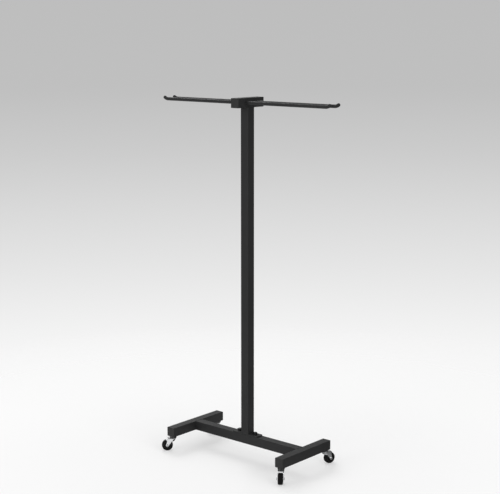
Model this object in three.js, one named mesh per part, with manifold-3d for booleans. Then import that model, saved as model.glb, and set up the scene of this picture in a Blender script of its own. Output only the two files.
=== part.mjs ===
// A wheeled display stand of black square tube. Two round rails run through a short head tube
// on top of a post, and goods hang handle up in the slot between the rails. The post is bolted
// to the beam of an H-shaped base that rolls on four small swivel casters.
// Millimetres. X runs along the rails, Y along the feet, Z up, and the origin lies on the floor
// under the post.

import * as THREE from 'three';
import { mergeVertices } from 'three/addons/utils/BufferGeometryUtils.js';
import Module from 'manifold-3d';

// Clearances
const seatGap = 0.3; // left between two pieces that seat on each other
const overrun = 2; // how far a cutting shape runs past the face that it cuts

// Square tube
const tubeSide = 25;
const tubeWall = 1.2;
const tubeCorner = 1.5; // outside corner radius

// Base
const baseWidth = 405; // over the outer faces of the feet
const footLength = 200; // over the end caps
const casterHeight = 40; // floor to the underside of a foot
const casterInset = 10; // end of a foot to the swivel axis

// Post, its base plate and the bolts that hold it
const standHeight = 960; // floor to the top of the head tube
const plateLength = 86;
const plateThickness = 3;
const plateCorner = 3;
const boltSpread = 54; // distance between the two bolts
const boltDiameter = 6;
const boltLength = 16; // under the head
const boltHeadFlats = 10;
const boltHeadHeight = 4;
const nutHeight = 6;
const washerDiameter = 12;
const washerThickness = 1.6;

// Head tube and rails
const headLength = 100; // over the end caps
const railDiameter = 9;
const railSpacing = 36; // between the two rail axes
const railEndReach = 276.5; // post axis to the centre of a rail's round end
const railTipRise = 3.5; // how far a rail's end is bent up
const railTipRun = 12; // length over which it is bent

// End caps of the tubes
const capFlange = 2;
const capBevel = 0.5;
const capLegDepth = 11;
const capLegWidth = 3;
const capLegWall = 1.5;

// Caster, stem and bearing
const stemDiameter = 8;
const stemReach = 15; // above the underside of the foot
const stemChamfer = 0.8;
const collarFlats = 16;
const collarHeight = 1.8;
const kingpinDiameter = 6;
const kingpinHeadDiameter = 9.6;
const kingpinHeadHeight = 1.8;
const weldNutFlats = 13;
const weldNutHeight = 8;
const raceDiameter = 18.6;
const raceHeight = 2.4;
const raceSheet = 1.2;
const ballCount = 8;
const ballDiameter = 2.2;
const ballCircleDiameter = 11.4;
const ballGap = 0.15; // running clearance under a ball
const ballSink = 0.1; // how far a ball sits in the upper track
const trackDepth = 0.4;
const rivetCrownShare = 0.6; // flat middle of a riveted head, as a share of its radius

// Caster, fork and axle
const wheelTrail = 16; // swivel axis to axle, seen from above
const forkSheet = 1.6;
const forkBend = 2; // outside radius of the drawn edge round the crown
const forkNoseLean = 0.6; // how far the nose leans back for each unit that it comes down
const forkRunGap = 0.5; // between the bearing's skirt and the fork
const forkBoss = 3.8; // radius of the leg's end round the axle
const forkTail = 19.5; // how far the fork's top runs back from the swivel axis
// Points of a leg's lower and trailing edges, as shares of the trail behind the swivel axis and
// of the height of the fork's top over the axle
const noseFootShare = 0.62; // lower edge of the nose, at its front
const legFrontShares = [[0.16, 0.52], [0.4, 0.38], [0.6, 0.2]];
const legBackShares = [[1.16, 0.25], [1.06, 0.55], [1.09, 0.78]];
const axleDiameter = 5;
const axleHeadDiameter = 8;
const axleHeadHeight = 1.4;
const axleRunGap = 0.15;

// Caster, wheel
const wheelDiameter = 30;
const tyreWidth = 12.5;
const tyreShoulder = 2.2; // corner radius of the tyre
const tyreDepth = 3.5; // thickness of the rubber
const hubWidth = 13.6;
const hubDiameter = 10;
const hubFillet = 1; // run of the slope from the hub's end down to the web
const rimWidth = 10.5;
const rimDepth = 2.2;
const webThickness = 3.6;

// Number of straight sides that stand for a full turn
const boltSides = 12;
const railSides = 12;
const raceSides = 16;
const hexagonSides = 12; // of the cone that turns off a hexagon's corners
const wheelSides = 22;
const ballSides = 6;
const ballRows = 3;
const cornerSteps = 2; // half the steps of a small quarter round
const bendSteps = 2; // steps of the fork's drawn edge
const noseSteps = 5; // half the steps of the fork's nose
const capSteps = 1; // the same on an end cap
const legSteps = 2; // steps between two points of a leg's edge
const shoulderSteps = 2; // steps of the tyre's shoulder
const trackSteps = 2; // steps across a ball track
const railBendSteps = 4; // steps of a rail's bent end

// Rest heading of each caster in degrees, the way its wheel trails from the swivel axis
const casterPlaces = {
  front_left: { side: -1, end: -1, heading: 226 },
  front_right: { side: 1, end: -1, heading: -56 },
  back_left: { side: -1, end: 1, heading: 205 },
  back_right: { side: 1, end: 1, heading: 74 },
};

// Heights and half sizes that follow from the values above
const footTop = casterHeight + tubeSide;
const plateTop = footTop + plateThickness;
const headBottom = standHeight - tubeSide;
const railHeight = standHeight - tubeSide / 2;
const footCentre = baseWidth / 2 - tubeSide / 2;
const tubeInside = tubeSide - 2 * tubeWall;
const axleHeight = wheelDiameter / 2;
const collarBottom = casterHeight - collarHeight;
const raceTop = collarBottom - seatGap;
const raceBottom = raceTop - raceHeight;
const forkTop = raceBottom - forkRunGap;
const forkInside = hubWidth + 2 * seatGap;
const forkWidth = forkInside + 2 * forkSheet;

const powderCoat = new THREE.MeshStandardMaterial({ color: 0x2c2c2e, roughness: 0.55, metalness: 0.1 });
const blackPlastic = new THREE.MeshStandardMaterial({ color: 0x1d1d1f, roughness: 0.5, metalness: 0 });
const blackOxide = new THREE.MeshStandardMaterial({ color: 0x1f2022, roughness: 0.4, metalness: 0.8 });
const brightZinc = new THREE.MeshStandardMaterial({ color: 0xc9ccd0, roughness: 0.22, metalness: 1 });
const nylon = new THREE.MeshStandardMaterial({ color: 0x232325, roughness: 0.45, metalness: 0 });
const rubber = new THREE.MeshStandardMaterial({ color: 0x141415, roughness: 0.7, metalness: 0 });

const wasm = await Module();
wasm.setup();

// Turns a closed three.js geometry into a solid that can be cut and joined.
function solid(geometry) {
  const bare = geometry.index ? geometry.toNonIndexed() : geometry.clone();
  bare.deleteAttribute('normal');
  bare.deleteAttribute('uv');
  const merged = mergeVertices(bare);
  const vertProperties = Float32Array.from(merged.attributes.position.array);
  const triVerts = Uint32Array.from(merged.index.array);
  return new wasm.Manifold(new wasm.Mesh({ numProp: 3, vertProperties, triVerts }));
}

// Turns a solid back into a three.js geometry.
function geometryOf(body) {
  const { vertProperties, triVerts } = body.getMesh();
  const geometry = new THREE.BufferGeometry();
  geometry.setAttribute('position', new THREE.BufferAttribute(Float32Array.from(vertProperties), 3));
  geometry.setIndex(Array.from(triVerts));
  return geometry;
}

function cut(body, tools) {
  return tools.reduce((rest, tool) => rest.subtract(solid(tool)), body);
}

function mesh(name, geometry, material) {
  const piece = new THREE.Mesh(geometry, material);
  piece.name = name;
  return piece;
}

// A rectangle with round corners, centred on the origin.
function roundedOutline(width, height, radius, Kind = THREE.Shape) {
  const x = width / 2 - radius;
  const y = height / 2 - radius;
  const quarter = Math.PI / 2;
  const outline = new Kind();
  outline.absarc(x, y, radius, 0, quarter);
  outline.absarc(-x, y, radius, quarter, 2 * quarter);
  outline.absarc(-x, -y, radius, 2 * quarter, 3 * quarter);
  outline.absarc(x, -y, radius, 3 * quarter, 4 * quarter);
  outline.closePath();
  return outline;
}

// A cylinder standing on Z, centred on the height z.
function pin(diameter, height, z = 0, sides = boltSides) {
  const geometry = new THREE.CylinderGeometry(diameter / 2, diameter / 2, height, sides);
  return geometry.rotateX(Math.PI / 2).translate(0, 0, z);
}

// A body turned round Z from a list of [radius, z] points.
function turned(points, sides) {
  const profile = points.map(([radius, z]) => new THREE.Vector2(radius, z));
  return new THREE.LatheGeometry(profile, sides).rotateX(Math.PI / 2);
}

// A hexagon bar standing on z = 0, with the corners of the chosen ends turned off.
function hexagon(flats, height, { bore = 0, top = true, bottom = false } = {}) {
  const lift = flats / 2;
  const corner = lift / Math.cos(Math.PI / 6);
  const corners = [0, 1, 2, 3, 4, 5].map((i) => {
    const angle = (i * Math.PI) / 3;
    return new THREE.Vector2(corner * Math.cos(angle), corner * Math.sin(angle));
  });
  const bar = new THREE.ExtrudeGeometry(new THREE.Shape(corners), { depth: height, bevelEnabled: false });
  const reach = corner + overrun;
  const fall = (reach - lift) * Math.tan(Math.PI / 6);
  const foot = bottom ? [[0, 0], [lift, 0], [reach, fall]] : [[0, -overrun], [reach, -overrun]];
  const crown = top ? [[reach, height - fall], [lift, height], [0, height]]
    : [[reach, height + overrun], [0, height + overrun]];
  const rounded = solid(bar).intersect(solid(turned([...foot, ...crown], hexagonSides)));
  return bore ? rounded.subtract(solid(pin(bore, height + 2 * overrun, height / 2))) : rounded;
}

// Square tube of the given length, standing on z = 0.
function squareTube(length) {
  const outline = roundedOutline(tubeSide, tubeSide, tubeCorner);
  outline.holes.push(roundedOutline(tubeInside, tubeInside, tubeCorner - tubeWall, THREE.Path));
  return new THREE.ExtrudeGeometry(outline, {
    depth: length, bevelEnabled: false, curveSegments: cornerSteps,
  });
}

// Push-in cap for a square tube. Its flange rests on z = 0 and its four legs point down into
// the tube, one in each corner, so the middle of each wall stays free for a nut.
function tubeCap() {
  const side = tubeSide - 2 * capBevel;
  const bevel = { bevelThickness: capBevel, bevelSize: capBevel, bevelSegments: 1 };
  const flange = new THREE.ExtrudeGeometry(roundedOutline(side, side, tubeCorner - capBevel), {
    depth: capFlange - 2 * capBevel, curveSegments: capSteps, ...bevel,
  }).translate(0, 0, capBevel);
  const legSide = tubeInside - 2 * seatGap;
  const bore = legSide - 2 * capLegWall;
  const ring = roundedOutline(legSide, legSide, tubeCorner - tubeWall);
  ring.holes.push(roundedOutline(bore, bore, capBevel, THREE.Path));
  const legDepth = capLegDepth + capFlange / 2;
  const legs = new THREE.ExtrudeGeometry(ring, {
    depth: legDepth, bevelEnabled: false, curveSegments: capSteps,
  });
  const slot = legSide - 2 * capLegWidth;
  const across = new THREE.BoxGeometry(tubeSide, slot, capLegDepth + overrun);
  const along = new THREE.BoxGeometry(slot, tubeSide, capLegDepth + overrun);
  const depth = -(capLegDepth + overrun) / 2;
  const corners = cut(solid(legs.translate(0, 0, -capLegDepth)), [
    across.translate(0, 0, depth),
    along.translate(0, 0, depth),
  ]);
  return solid(flange).add(corners);
}

// A foot lies along Y. Each end has a hole in the lower wall for the caster's stem.
function foot() {
  const length = footLength - 2 * capFlange;
  const tube = solid(squareTube(length).translate(0, 0, -length / 2).rotateX(Math.PI / 2));
  const hole = pin(stemDiameter + 2 * seatGap, tubeWall + 2 * overrun, (tubeWall - tubeSide) / 2);
  const reach = footLength / 2 - casterInset;
  return geometryOf(cut(tube, [-reach, reach].map((y) => hole.clone().translate(0, y, 0))));
}

// The beam lies along X between the feet, with two bolt holes down through its upper wall.
function beam() {
  const length = baseWidth - 2 * tubeSide;
  const tube = solid(squareTube(length).translate(0, 0, -length / 2).rotateY(Math.PI / 2));
  const hole = pin(boltDiameter + 2 * seatGap, tubeWall + 2 * overrun, (tubeSide - tubeWall) / 2);
  const reach = boltSpread / 2;
  return geometryOf(cut(tube, [-reach, reach].map((x) => hole.clone().translate(x, 0, 0))));
}

function basePlate() {
  const outline = roundedOutline(plateLength, tubeSide, plateCorner);
  for (const side of [-1, 1]) {
    const hole = new THREE.Path();
    hole.absarc((side * boltSpread) / 2, 0, boltDiameter / 2 + seatGap, 0, 2 * Math.PI);
    outline.holes.push(hole);
  }
  return new THREE.ExtrudeGeometry(outline, {
    depth: plateThickness, bevelEnabled: false, curveSegments: boltSides / 2,
  });
}

// The head tube lies along Y. Both rails pass through its two side walls.
function headTube() {
  const length = headLength - 2 * capFlange;
  const tube = solid(squareTube(length).translate(0, 0, -length / 2).rotateX(Math.PI / 2));
  const hole = pin(railDiameter + 2 * seatGap, tubeSide + 2 * overrun, 0, railSides).rotateY(Math.PI / 2);
  const reach = railSpacing / 2;
  return geometryOf(cut(tube, [-reach, reach].map((y) => hole.clone().translate(0, y, 0))));
}

// The axis of a rail: straight, with each end bent up along an arc. The parameter steps from
// one station to the next, so the long straight run takes a single step.
class RailAxis extends THREE.Curve {
  constructor() {
    super();
    const turn = 2 * Math.atan(railTipRise / railTipRun);
    const radius = railTipRun / Math.sin(turn);
    const bendStart = railEndReach - railTipRun;
    const right = [];
    for (let i = 0; i <= railBendSteps; i += 1) {
      const angle = (turn * i) / railBendSteps;
      const x = bendStart + radius * Math.sin(angle);
      right.push(new THREE.Vector3(x, 0, radius * (1 - Math.cos(angle))));
    }
    const left = right.map((p) => new THREE.Vector3(-p.x, 0, p.z)).reverse();
    this.stations = [...left, ...right];
  }

  getPoint(t, target = new THREE.Vector3()) {
    const place = t * (this.stations.length - 1);
    const index = Math.min(Math.floor(place), this.stations.length - 2);
    return target.lerpVectors(this.stations[index], this.stations[index + 1], place - index);
  }

  getUtoTmapping(u) {
    return u;
  }
}

// A rail with half-round ends.
function rail() {
  const axis = new RailAxis();
  const section = new THREE.Shape();
  section.absarc(0, 0, railDiameter / 2, 0, 2 * Math.PI);
  const bar = new THREE.ExtrudeGeometry(section, {
    extrudePath: axis, steps: axis.stations.length - 1, curveSegments: railSides / 2, bevelEnabled: false,
  });
  const end = new THREE.SphereGeometry(railDiameter / 2, railSides, railSides / 2);
  return geometryOf([-1, 1].reduce((body, side) => {
    const tip = end.clone().translate(side * railEndReach, 0, railTipRise);
    return body.add(solid(tip));
  }, solid(bar)));
}

function boltAndHead() {
  const shank = pin(boltDiameter, boltLength + seatGap, -(boltLength - seatGap) / 2);
  return geometryOf(solid(shank).add(hexagon(boltHeadFlats, boltHeadHeight)));
}

function washer() {
  const outline = new THREE.Shape();
  outline.absarc(0, 0, washerDiameter / 2, 0, 2 * Math.PI);
  const hole = new THREE.Path();
  hole.absarc(0, 0, boltDiameter / 2 + seatGap, 0, 2 * Math.PI);
  outline.holes.push(hole);
  return new THREE.ExtrudeGeometry(outline, {
    depth: washerThickness, bevelEnabled: false, curveSegments: boltSides / 2,
  });
}

// Threaded stem, hexagon collar and the kingpin whose riveted head carries the fork.
function casterStem() {
  const stem = stemDiameter / 2;
  const kingpin = kingpinDiameter / 2;
  const headTop = forkTop - forkSheet - seatGap;
  const headFoot = headTop - kingpinHeadHeight;
  const headRadius = kingpinHeadDiameter / 2;
  const top = casterHeight + stemReach;
  const profile = [
    [0, headFoot],
    [headRadius * rivetCrownShare, headFoot],
    [headRadius, headFoot + kingpinHeadHeight / 2],
    [headRadius, headTop],
    [kingpin, headTop],
    [kingpin, collarBottom],
    [stem, collarBottom],
    [stem, top - stemChamfer],
    [stem - stemChamfer, top],
    [0, top],
  ];
  const collar = hexagon(collarFlats, collarHeight - seatGap, { top: true, bottom: true });
  return geometryOf(solid(turned(profile, boltSides)).add(collar.translate(0, 0, collarBottom)));
}

// An arc of the ball track as [radius, z] points. It bulges up by the track's depth.
function trackArc(z, bulge) {
  const reach = ballDiameter / 2 + ballGap;
  const half = Math.sqrt(reach ** 2 - (reach - trackDepth) ** 2);
  const centre = ballCircleDiameter / 2;
  const points = [];
  for (let i = 0; i <= trackSteps; i += 1) {
    const angle = (Math.PI * i) / trackSteps;
    points.push([centre - half * Math.cos(angle), z + bulge * trackDepth * Math.sin(angle)]);
  }
  return points;
}

// Pressed upper race: a disc with a skirt round the balls, and the balls in its track.
function upperRace() {
  const bore = kingpinDiameter / 2 + seatGap;
  const outer = raceDiameter / 2;
  const under = raceTop - raceSheet;
  const skirt = outer - raceSheet;
  const profile = [
    [bore, under],
    ...trackArc(under, 1),
    [skirt, under],
    [skirt, raceBottom],
    [outer, raceBottom],
    [outer, raceTop - raceSheet / 2],
    [outer - raceSheet / 2, raceTop],
    [bore, raceTop],
    [bore, under],
  ];
  const ball = new THREE.SphereGeometry(ballDiameter / 2, ballSides, ballRows).rotateX(Math.PI / 2);
  ball.translate(ballCircleDiameter / 2, 0, under + trackDepth + ballSink - ballDiameter / 2);
  let race = solid(turned(profile, raceSides));
  for (let i = 0; i < ballCount; i += 1) {
    race = race.add(solid(ball.clone().rotateZ((2 * Math.PI * i) / ballCount)));
  }
  return geometryOf(race);
}

// A block with the fork's plan, parallel sides and a half-round nose, and a rounded upper edge.
// Its nose leans back as it comes down. The inset makes the block that hollows it out.
function forkBlock(inset) {
  const side = forkWidth / 2 - inset;
  const bend = forkBend - inset;
  const tail = forkTail + forkTop * forkNoseLean + overrun;
  const plan = new THREE.Shape();
  plan.absarc(0, 0, side, Math.PI / 2, (3 * Math.PI) / 2);
  plan.lineTo(tail, -side);
  plan.lineTo(tail, side);
  plan.closePath();
  const block = new THREE.ExtrudeGeometry(plan, {
    depth: forkTop, curveSegments: noseSteps,
    bevelThickness: bend, bevelSize: bend, bevelOffset: -bend, bevelSegments: bendSteps,
  });
  const lean = new THREE.Matrix4().makeShear(0, 0, 0, 0, -forkNoseLean, 0);
  return block.translate(0, 0, -forkTop - bend - inset).applyMatrix4(lean).translate(0, 0, forkTop);
}

// The fork seen from the side, x running back from the swivel axis. Below the nose the leading
// edge falls to the axle, and the trailing edge is drawn in above it.
function forkSide() {
  const front = -forkWidth / 2 - overrun;
  const rise = forkTop - axleHeight;
  const place = ([back, up]) => new THREE.Vector2(back * wheelTrail, axleHeight + up * rise);
  const outline = new THREE.Shape();
  outline.moveTo(front, forkTop + overrun);
  outline.lineTo(front, axleHeight + noseFootShare * rise);
  outline.lineTo(legFrontShares[0][0] * wheelTrail, axleHeight + legFrontShares[0][1] * rise);
  outline.splineThru(legFrontShares.slice(1).map(place));
  outline.absarc(wheelTrail, axleHeight, forkBoss, Math.PI, 2 * Math.PI);
  outline.splineThru([...legBackShares.map(place), new THREE.Vector2(forkTail, forkTop - forkBend)]);
  outline.lineTo(forkTail, forkTop + overrun);
  outline.closePath();
  return outline;
}

// Drawn sheet fork: one block hollowed by another and trimmed to its side outline, then pierced
// for the kingpin and the axle, with the lower ball track pressed into its crown.
function fork() {
  const width = forkWidth + 2 * overrun;
  const side = new THREE.ExtrudeGeometry(forkSide(), {
    depth: width, bevelEnabled: false, curveSegments: legSteps,
  });
  side.rotateX(Math.PI / 2).translate(0, width / 2, 0);
  const axleHole = pin(axleDiameter + 2 * axleRunGap, width, 0, boltSides).rotateX(Math.PI / 2);
  const track = turned([...trackArc(forkTop, -1), ...trackArc(forkTop, 1).reverse()], raceSides);
  return geometryOf(cut(solid(forkBlock(0)).intersect(solid(side)), [
    forkBlock(forkSheet),
    pin(kingpinDiameter + 2 * seatGap, forkSheet + 2 * overrun, forkTop),
    axleHole.translate(wheelTrail, 0, axleHeight),
    track,
  ]));
}

// Axle pin with a low riveted head outside each leg, lying along Y.
function axlePin() {
  const seat = forkWidth / 2 + seatGap;
  const end = seat + axleHeadHeight;
  const head = axleHeadDiameter / 2;
  const half = [
    [axleDiameter / 2, seat],
    [head, seat],
    [head, seat + axleHeadHeight / 2],
    [head * rivetCrownShare, end],
    [0, end],
  ];
  const otherHalf = half.map(([radius, z]) => [radius, -z]).reverse();
  return turned([...otherHalf, ...half], boltSides).rotateX(Math.PI / 2);
}

// Wheel centre: hub, web and rim, turned round the axle along Y.
function wheelCore() {
  const bore = axleDiameter / 2 + axleRunGap;
  const hub = hubDiameter / 2;
  const rim = wheelDiameter / 2 - tyreDepth - seatGap;
  const side = [
    [bore, hubWidth / 2],
    [hub, hubWidth / 2],
    [hub + hubFillet, webThickness / 2],
    [rim - rimDepth, webThickness / 2],
    [rim - rimDepth, rimWidth / 2],
    [rim, rimWidth / 2],
  ];
  const otherSide = side.map(([radius, z]) => [radius, -z]);
  const profile = [...otherSide, ...side.reverse(), otherSide[0]];
  return turned(profile, wheelSides).rotateX(Math.PI / 2);
}

// Rubber tyre. It stands on the middle of one of its flats.
function tyre() {
  const inner = wheelDiameter / 2 - tyreDepth;
  const shoulder = wheelDiameter / 2 - tyreShoulder;
  const wall = tyreWidth / 2;
  const tread = wall - tyreShoulder;
  const profile = [[inner, -rimWidth / 2]];
  for (let i = 0; i <= shoulderSteps; i += 1) {
    const angle = (Math.PI / 2) * (i / shoulderSteps);
    profile.push([shoulder + tyreShoulder * Math.sin(angle), -tread - tyreShoulder * Math.cos(angle)]);
  }
  const otherSide = profile.map(([radius, z]) => [radius, -z]).reverse();
  const flat = 1 / Math.cos(Math.PI / wheelSides);
  const whole = [...profile, ...otherSide, profile[0]].map(([radius, z]) => [radius * flat, z]);
  return turned(whole, wheelSides).rotateZ(Math.PI / wheelSides).rotateX(Math.PI / 2);
}

// One caster. The stem and upper race stay with the foot, and the rest turns with the heading.
function caster(corner, { side, end, heading }) {
  const name = (piece) => `${corner}_caster_${piece}`;
  const fixed = new THREE.Group();
  fixed.position.set(side * footCentre, end * (footLength / 2 - casterInset), 0);
  fixed.add(
    mesh(name('stem'), casterStem(), brightZinc),
    mesh(name('upper_race'), upperRace(), brightZinc),
  );
  const swivel = new THREE.Group();
  swivel.rotation.z = THREE.MathUtils.degToRad(heading);
  swivel.add(mesh(name('fork'), fork(), brightZinc));
  const wheel = new THREE.Group();
  wheel.position.set(wheelTrail, 0, axleHeight);
  wheel.add(
    mesh(name('axle'), axlePin(), brightZinc),
    mesh(name('wheel_core'), wheelCore(), nylon),
    mesh(name('tyre'), tyre(), rubber),
  );
  swivel.add(wheel);
  fixed.add(swivel);
  return fixed;
}

// Places a geometry and names it.
function part(name, geometry, material, [x, y, z] = [0, 0, 0]) {
  const piece = mesh(name, geometry, material);
  piece.position.set(x, y, z);
  return piece;
}

// An end cap on a tube along Y, with its flange outwards.
function capAt(name, along, place) {
  const cap = part(name, geometryOf(tubeCap()), blackPlastic, place);
  cap.rotation.x = (-along * Math.PI) / 2;
  return cap;
}

// The H-shaped base with its end caps and the nuts inside the feet.
function base() {
  const group = new THREE.Group();
  const middle = casterHeight + tubeSide / 2;
  const nutSeat = casterHeight + tubeWall + seatGap;
  group.add(part('base_beam', beam(), powderCoat, [0, 0, middle]));
  for (const [name, side] of [['left', -1], ['right', 1]]) {
    const x = side * footCentre;
    group.add(part(`${name}_foot`, foot(), powderCoat, [x, 0, middle]));
    for (const [end, along] of [['front', -1], ['back', 1]]) {
      group.add(capAt(`${end}_${name}_foot_cap`, along, [x, along * (footLength / 2 - capFlange), middle]));
      const nut = hexagon(weldNutFlats, weldNutHeight, { bore: stemDiameter + 2 * seatGap });
      const place = [x, along * (footLength / 2 - casterInset), nutSeat];
      group.add(part(`${end}_${name}_weld_nut`, geometryOf(nut).rotateZ(Math.PI / 6), brightZinc, place));
    }
  }
  return group;
}

// Post, base plate and two bolts, which go into nuts welded under the beam's upper wall.
function postAssembly() {
  const group = new THREE.Group();
  group.add(part('post', squareTube(headBottom - plateTop), powderCoat, [0, 0, plateTop]));
  group.add(part('post_base_plate', basePlate(), powderCoat, [0, 0, footTop]));
  const upperWasher = plateTop + seatGap;
  const headSeat = upperWasher + washerThickness + seatGap;
  const nutFoot = footTop - tubeWall - seatGap - nutHeight;
  for (const [name, side] of [['left', -1], ['right', 1]]) {
    const x = (side * boltSpread) / 2;
    const nut = hexagon(boltHeadFlats, nutHeight, { bore: boltDiameter + 2 * seatGap, bottom: true });
    group.add(
      part(`${name}_base_bolt`, boltAndHead(), blackOxide, [x, 0, headSeat]),
      part(`${name}_upper_washer`, washer(), blackOxide, [x, 0, upperWasher]),
      part(`${name}_base_nut`, geometryOf(nut), blackOxide, [x, 0, nutFoot]),
    );
  }
  return group;
}

// Head tube, its end caps and the two rails.
function headAssembly() {
  const group = new THREE.Group();
  group.position.z = railHeight;
  group.add(part('head_tube', headTube(), powderCoat));
  for (const [name, side] of [['front', -1], ['back', 1]]) {
    group.add(
      capAt(`${name}_head_cap`, side, [0, side * (headLength / 2 - capFlange), 0]),
      part(`${name}_rail`, rail(), powderCoat, [0, (side * railSpacing) / 2, 0]),
    );
  }
  return group;
}

const stand = new THREE.Group();
stand.add(base(), postAssembly(), headAssembly());
for (const [corner, place] of Object.entries(casterPlaces)) {
  stand.add(caster(corner, place));
}

export default stand;
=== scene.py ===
# %% [markdown]
# # A rolling display stand in black square tube
#
# The stand is simple: one post on an H-shaped base, a short tube across its top and two round
# rails. What makes it believable is the making of it: rolled corners, weld beads under the paint,
# bolts with threads, and four small casters of drawn and plated sheet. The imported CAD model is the
# frame that every piece here is fitted to. Lengths are in millimetres until a piece is made.

# %% Load the frame
import math

import bmesh
import bpy
import numpy as np
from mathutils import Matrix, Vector


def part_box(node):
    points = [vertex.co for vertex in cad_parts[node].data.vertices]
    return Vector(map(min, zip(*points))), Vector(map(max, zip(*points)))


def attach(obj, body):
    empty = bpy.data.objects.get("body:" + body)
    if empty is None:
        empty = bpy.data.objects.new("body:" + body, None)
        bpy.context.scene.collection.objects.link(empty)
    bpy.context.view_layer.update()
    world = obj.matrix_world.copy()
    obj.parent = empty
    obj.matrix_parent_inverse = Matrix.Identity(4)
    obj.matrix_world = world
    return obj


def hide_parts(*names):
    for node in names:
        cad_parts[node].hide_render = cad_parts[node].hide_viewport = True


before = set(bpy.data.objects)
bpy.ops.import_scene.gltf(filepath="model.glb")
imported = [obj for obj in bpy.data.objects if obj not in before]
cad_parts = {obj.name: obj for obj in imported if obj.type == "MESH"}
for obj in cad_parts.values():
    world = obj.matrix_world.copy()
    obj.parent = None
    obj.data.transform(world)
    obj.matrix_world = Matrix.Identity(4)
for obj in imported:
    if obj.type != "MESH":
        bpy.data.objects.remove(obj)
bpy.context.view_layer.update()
MM = 0.001


# %% [markdown]
# ## Sizes from the frame
# Places and outer sizes are read from the boxes of the CAD nodes, so the pieces follow when the
# model changes. Only what a box can't tell, such as a gauge or a radius, is written here.

# %% Main sizes
def span(node):
    """Lowest and highest corner of a CAD node's box, in millimetres."""
    return [np.array(corner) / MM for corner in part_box(node)]


def middle_of(node):
    """Centre of that box."""
    return sum(span(node)) / 2


foot_low, foot_high = span("right_foot")
beam_low, beam_high = span("base_beam")
post_low, post_high = span("post")
head_low, head_high = span("head_tube")
plate_low, plate_high = span("post_base_plate")
rail_low, rail_high = span("back_rail")
bolt_low, bolt_high = span("right_base_bolt")
tube_side = foot_high[0] - foot_low[0]
tube_gauge, tube_corner, seat_gap = 1.2, 1.5, 0.3
foot_x, foot_z = middle_of("right_foot")[[0, 2]]
head_z, bolt_x = middle_of("head_tube")[2], middle_of("right_base_bolt")[0]
rail_y, rail_radius = middle_of("back_rail")[1], (rail_high[1] - rail_low[1]) / 2
print("square tube of", round(tube_side, 1), "mm, rails of", round(2 * rail_radius, 1), "mm")


# %% [markdown]
# ## From arrays to meshes
# Every surface here is a grid: rows of points, where each point joins its neighbours with
# four-cornered faces. numpy works out all points at once. A form is a pair of arrays, the points
# and the faces, and several forms can make one piece.

# %% Grids and forms
def grid(points, around=True):
    """Form of a (rows, columns, 3) array: face (i, j) joins points (i, j), (i, j+1),
    (i+1, j+1) and (i+1, j). Around closes the last column to the first."""
    rows, columns = points.shape[:2]
    i = np.arange(rows - 1)[:, None]
    j = np.arange(columns if around else columns - 1)[None, :]
    a = i * columns + j
    b = i * columns + (j + 1) % columns
    faces = np.stack([a, b, b + columns, a + columns], axis=-1).reshape(-1, 4)
    return points.reshape(-1, 3), faces


def surface(x, y, z):
    """Points of a grid: x, y and z are stretched to one shape and stacked."""
    return np.stack(np.broadcast_arrays(x, y, z), axis=-1)


def full_turn(sides):
    """Angles evenly spaced once round."""
    return np.linspace(0, 2 * np.pi, sides, endpoint=False)


def joined(*forms):
    """One form out of several: the faces of each are shifted by the points before them."""
    starts = np.cumsum([0] + [len(points) for points, _ in forms[:-1]])
    return (np.concatenate([points for points, _ in forms]),
            np.concatenate([faces + start for (_, faces), start in zip(forms, starts)]))


def facing_out(form):
    """Turns the faces round if the signed volume, the sum of p . (q x r) / 6 over all
    triangles pqr, is negative."""
    points, faces = form
    tri = np.concatenate([faces[:, [0, 1, 2]], faces[:, [0, 2, 3]]])
    p, q, r = (points[tri[:, k]] for k in range(3))
    inside_out = np.einsum("ij,ij->i", p, np.cross(q, r)).sum() < 0
    return points, faces[:, ::-1] if inside_out else faces


def moved(form, x=0.0, y=0.0, z=0.0, turn=0.0, tip=None):
    """Tips Z onto the X or Y axis, turns round Z by degrees (x cos - y sin, x sin + y cos),
    then shifts."""
    points, faces = form
    if tip == "x":
        points = points[:, [2, 0, 1]]
    if tip == "y":
        points = points[:, [1, 2, 0]]
    c, s = math.cos(math.radians(turn)), math.sin(math.radians(turn))
    along, across, up = points.T
    turned = surface(along * c - across * s, along * s + across * c, up)
    return turned + np.array([x, y, z]), faces


print("a form of 4 x 6 points has", len(grid(np.zeros((4, 6, 3)))[1]), "faces")


# %% [markdown]
# ## Soft corners
# Nothing made of metal or plastic has a perfectly sharp edge. A profile is drawn with sharp
# corners first, and then each corner is cut back and bridged by a small curve. The light catches
# on it, and that thin bright line tells the eye how big the piece is.

# %% Softened profiles and turned pieces
def softened(profile, radius, steps=3):
    """Each inner corner P, cut back to A and B, becomes (1-t)^2 A + 2t(1-t) P + t^2 B. The
    cut is the radius, or 0.45 of the shorter side where that is less."""
    p = np.asarray(profile, float)
    before, corner, after = p[:-2], p[1:-1], p[2:]
    back, ahead = before - corner, after - corner
    long_back = np.linalg.norm(back, axis=1, keepdims=True)
    long_ahead = np.linalg.norm(ahead, axis=1, keepdims=True)
    cut = np.minimum(radius, 0.45 * np.minimum(long_back, long_ahead))
    a, b = corner + back / long_back * cut, corner + ahead / long_ahead * cut
    t = np.linspace(0, 1, steps + 1)[None, :, None]
    arcs = (1 - t) ** 2 * a[:, None] + 2 * t * (1 - t) * corner[:, None] + t ** 2 * b[:, None]
    return np.concatenate([p[:1], arcs.reshape(-1, p.shape[1]), p[-1:]])


def softened_ring(profile, radius, steps=3):
    """The same for a profile that closes on itself. It starts in the middle of its last side."""
    p = np.asarray(profile, float)
    middle = (p[:1] + p[-1:]) / 2
    return softened(np.concatenate([middle, p, middle]), radius, steps)


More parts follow.
